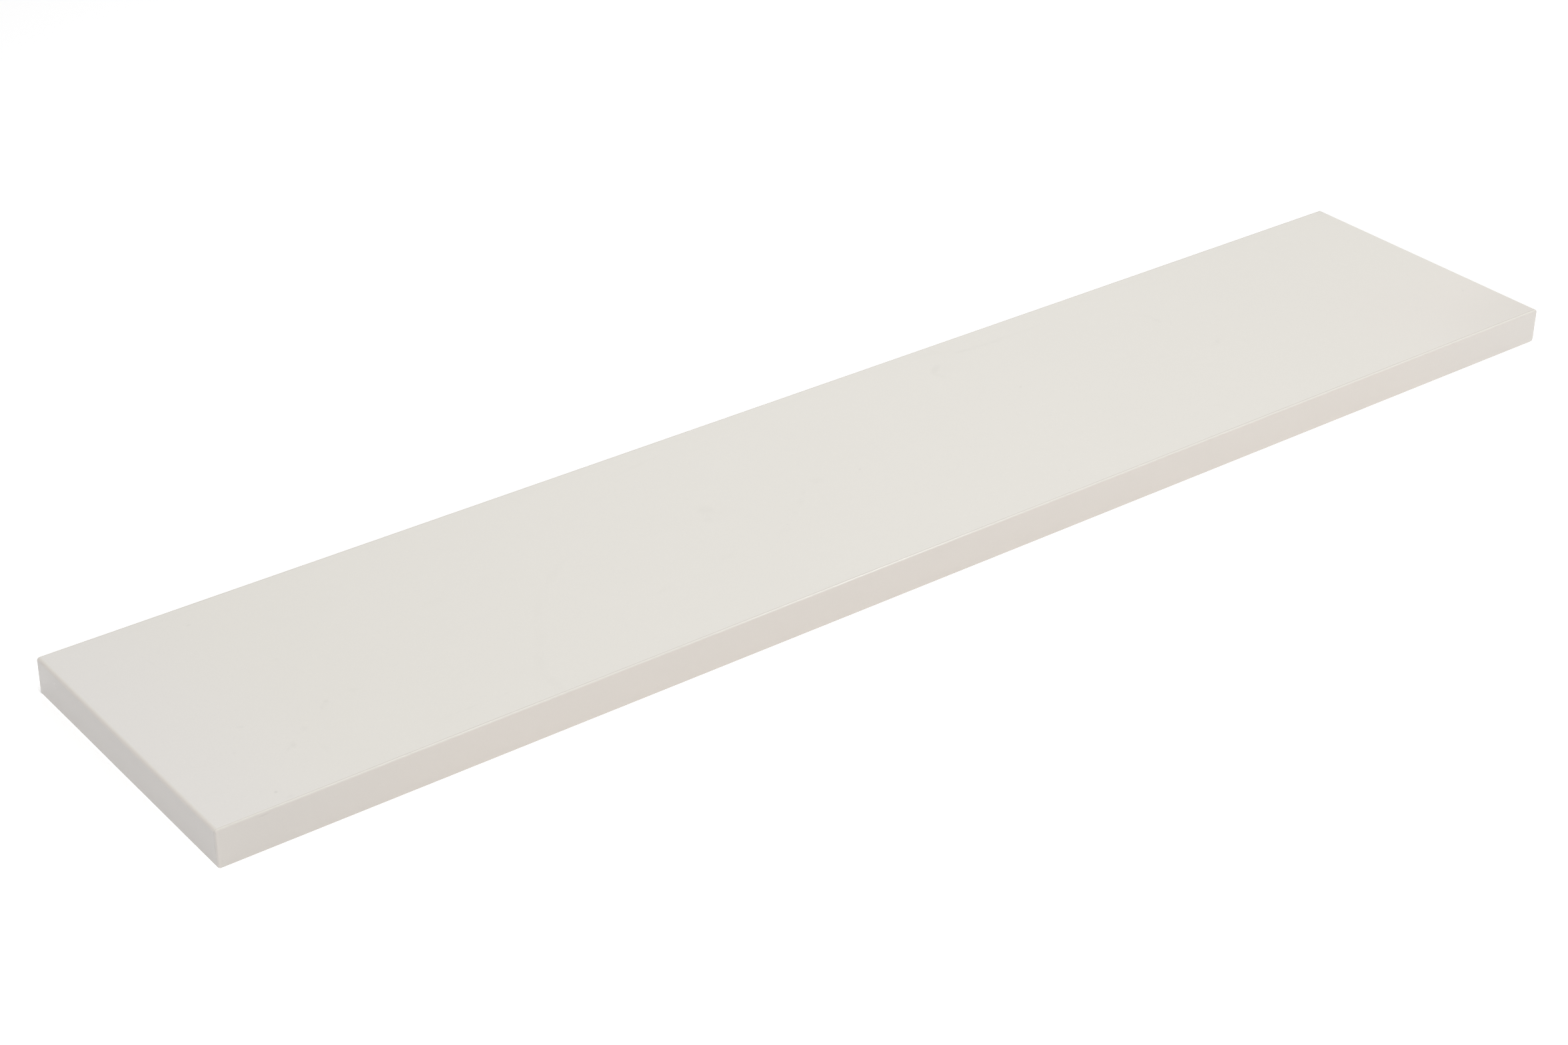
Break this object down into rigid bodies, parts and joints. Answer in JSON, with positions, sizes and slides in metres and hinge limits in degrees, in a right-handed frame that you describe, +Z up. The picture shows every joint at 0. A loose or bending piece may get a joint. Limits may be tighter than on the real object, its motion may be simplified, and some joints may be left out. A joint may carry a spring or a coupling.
{
  "type": "window sill board",
  "caption": "Off-white window sill board, a faced panel with rounded edging strips glued along its front, back and both ends.",
  "frame": {"origin": "middle of the underside", "axes": "+X along the length to the right, +Y back towards the window, +Z up out of the top"},
  "size_m": [1, 0.2, 0.024],
  "materials": {
    "board_facing": "satin",
    "long_edging": "satin",
    "end_edging": "satin"
  },
  "bodies": {
    "root": {"panel": "board_facing", "front_edging": "long_edging", "back_edging": "long_edging", "left_end_edging": "end_edging", "right_end_edging": "end_edging"}
  },
  "joints": []
}
